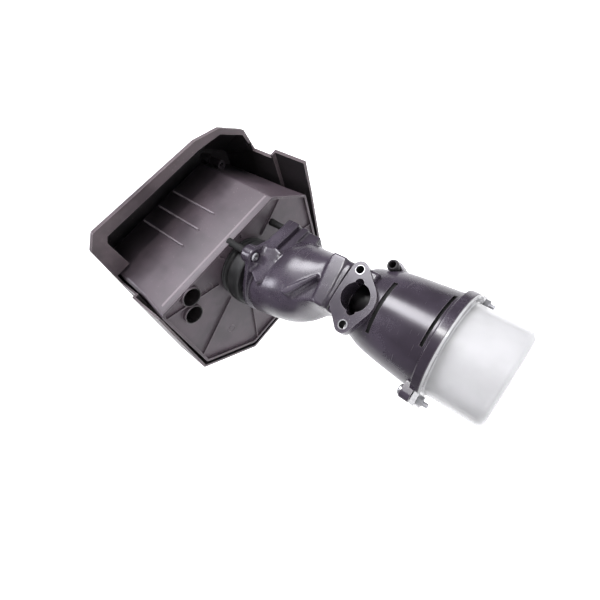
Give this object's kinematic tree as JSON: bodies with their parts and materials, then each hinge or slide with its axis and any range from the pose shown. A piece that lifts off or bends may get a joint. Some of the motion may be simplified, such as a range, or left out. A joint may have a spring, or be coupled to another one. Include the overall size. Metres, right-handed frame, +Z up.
{
  "type": "air filter housing",
  "caption": "Air filter housing for a small engine: hooded intake box on a duct elbow, feeding a round filter canister with a translucent dust cup and a carburettor flange.",
  "frame": {"origin": "middle of the dust cup's flat base, on the canister's axis", "axes": "+Z up the canister's axis towards the intake box, -Y out of the carburettor flange, +X to the right seen from that flange"},
  "size_m": [0.2213, 0.2213, 0.3551],
  "materials": {
    "dark_plastic": "satin, lightly grained moulding",
    "black_plastic": "satin",
    "black_rubber": "dull",
    "clear_cup": "translucent, slightly milky",
    "zinc_steel": "zinc plated",
    "grey_foam": "open-cell foam",
    "gasket_sheet": "dull sheet",
    "filter_fleece": "fibrous"
  },
  "bodies": {
    "housing": {"air_box": "dark_plastic", "bowl_seal": "black_rubber", "breather_nipple": "black_plastic", "canister_body": "dark_plastic", "cup_bolt_1": "zinc_steel", "cup_bolt_2": "zinc_steel", "duct_screw_front": "zinc_steel", "duct_screw_rear": "zinc_steel", "duct_screw_right": "zinc_steel", "elbow_duct": "dark_plastic", "elbow_screw_1": "zinc_steel", "elbow_screw_2": "zinc_steel", "element_clip": "zinc_steel", "element_support_lower": "zinc_steel", "element_support_upper": "zinc_steel", "filter_element": "filter_fleece", "flange_sleeve_left": "zinc_steel", "flange_sleeve_right": "zinc_steel", "inner_tube": "black_plastic", "joint_gasket": "gasket_sheet", "neck_collar": "black_rubber", "prefilter_foam": "grey_foam", "prefilter_screen": "black_plastic"},
    "cup": {"dust_cup": "clear_cup", "cup_nut_1": "zinc_steel", "cup_nut_2": "zinc_steel"},
    "hood": {"hood": "dark_plastic", "hood_screw_1": "zinc_steel", "hood_screw_2": "zinc_steel", "hood_screw_3": "zinc_steel", "hood_screw_4": "zinc_steel"}
  },
  "joints": [
    {"name": "cup_drop", "type": "slide", "parent": "housing", "child": "cup", "axis": [0, 0, -1], "range_m": [0, 0.06]},
    {"name": "hood_lift", "type": "slide", "parent": "housing", "child": "hood", "axis": [0, 0, 1], "range_m": [0, 0.11]}
  ]
}
